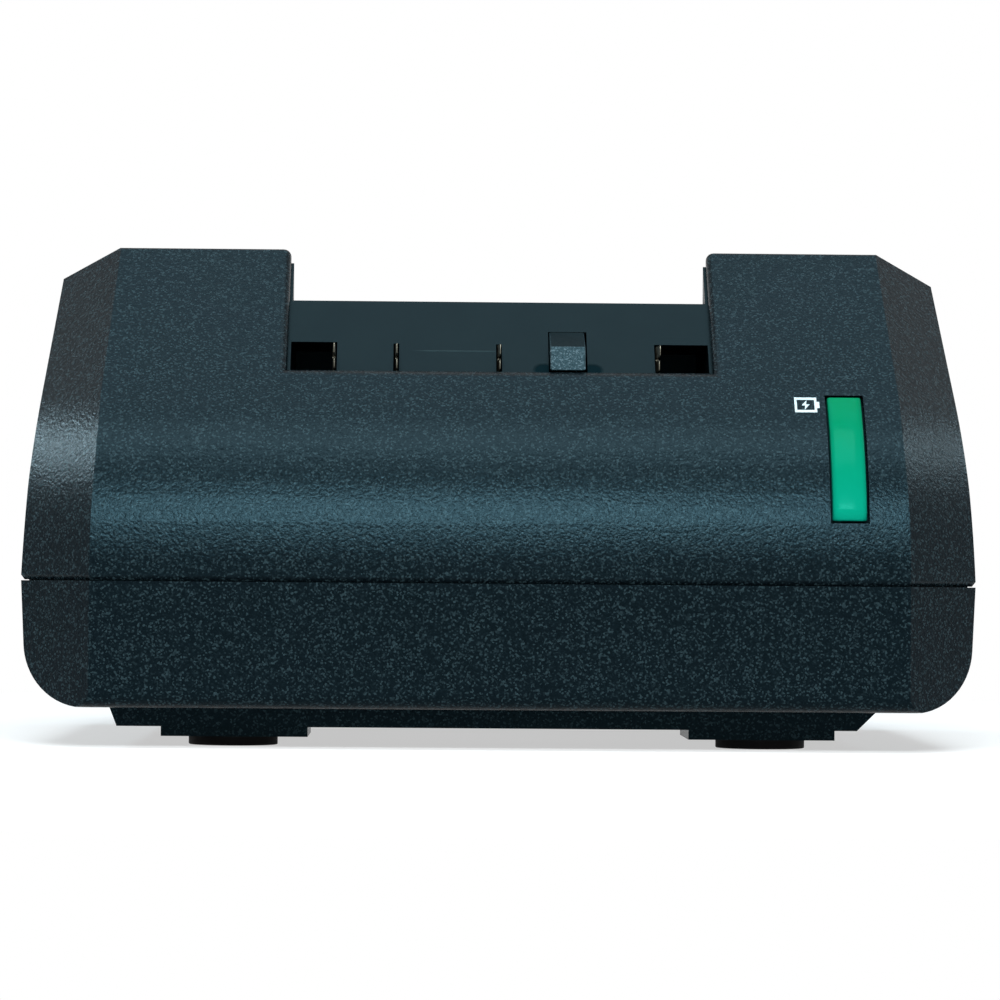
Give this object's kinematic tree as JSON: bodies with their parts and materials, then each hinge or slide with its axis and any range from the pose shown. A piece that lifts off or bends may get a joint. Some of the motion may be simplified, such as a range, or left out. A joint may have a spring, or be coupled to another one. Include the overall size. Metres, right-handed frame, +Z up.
{
  "type": "battery charger",
  "caption": "Tabletop charger for slide-on tool packs: sloping black housing, pack bay between two shoulders, sprung seat key, upright green light bar, rubber feet.",
  "frame": {"origin": "on the surface that the feet stand on, under the middle of the whole box", "axes": "+X to the right as seen from the front, +Y from the sloping front to the rear, +Z up"},
  "size_m": [0.18, 0.1386, 0.0962],
  "materials": {
    "housing_plastic": "fine-grained near-black plastic",
    "deck_plastic": "smooth near-black plastic",
    "contact_metal": "bright spring contact strip",
    "insulator": "black moulded insulator",
    "lens_plastic": "glossy green translucent lens",
    "clear_plastic": "clear moulded light pipe",
    "circuit_laminate": "solder-masked laminate",
    "insulating_film": "thin insulating film",
    "ferrite": "sintered ferrite",
    "copper_winding": "enamelled copper",
    "sink_aluminium": "extruded",
    "capacitor_sleeve": "shrunk sleeve",
    "fuse_glass": "glass barrel and plated caps",
    "gland_rubber": "matt",
    "foot_rubber": "matt",
    "plate_film": "bare satin film",
    "screw_steel": "plated",
    "spring_steel": "drawn wire"
  },
  "bodies": {
    "housing": {"base_shell": "housing_plastic", "top_cover": "housing_plastic", "bay_deck": "deck_plastic", "positive_blade": "contact_metal", "data_blade": "contact_metal", "sensor_blade": "contact_metal", "negative_blade": "contact_metal", "terminal_block": "insulator", "seat_switch": "insulator", "riser_socket": "insulator", "inlet_terminal": "insulator", "transformer_bobbin": "insulator", "film_capacitor": "insulator", "cord_clamp": "insulator", "switching_transistor": "insulator", "output_rectifier": "insulator", "bridge_rectifier": "insulator", "control_chip": "insulator", "light_bar": "lens_plastic", "light_guide": "clear_plastic", "status_led": "clear_plastic", "circuit_board": "circuit_laminate", "riser_board": "circuit_laminate", "insulating_sheet": "insulating_film", "transformer_core": "ferrite", "transformer_winding": "copper_winding", "filter_choke": "copper_winding", "primary_heat_sink": "sink_aluminium", "secondary_heat_sink": "sink_aluminium", "bulk_capacitor": "capacitor_sleeve", "output_capacitors": "capacitor_sleeve", "mains_fuse": "fuse_glass", "cord_gland": "gland_rubber", "foot_left_front": "foot_rubber", "foot_right_front": "foot_rubber", "foot_left_rear": "foot_rubber", "foot_right_rear": "foot_rubber", "rating_plate": "plate_film", "case_screws": "screw_steel", "board_screws": "screw_steel", "clamp_screws": "screw_steel", "deck_screws": "screw_steel", "key_spring": "spring_steel"},
    "key": {"seat_key": "housing_plastic"}
  },
  "joints": [
    {"name": "key_press", "type": "slide", "parent": "housing", "child": "key", "axis": [0, 1, 0], "range_m": [0, 0.003], "stiffness_N_per_m": 300, "springref_m": -0.003, "deforming": ["key_spring"]}
  ]
}
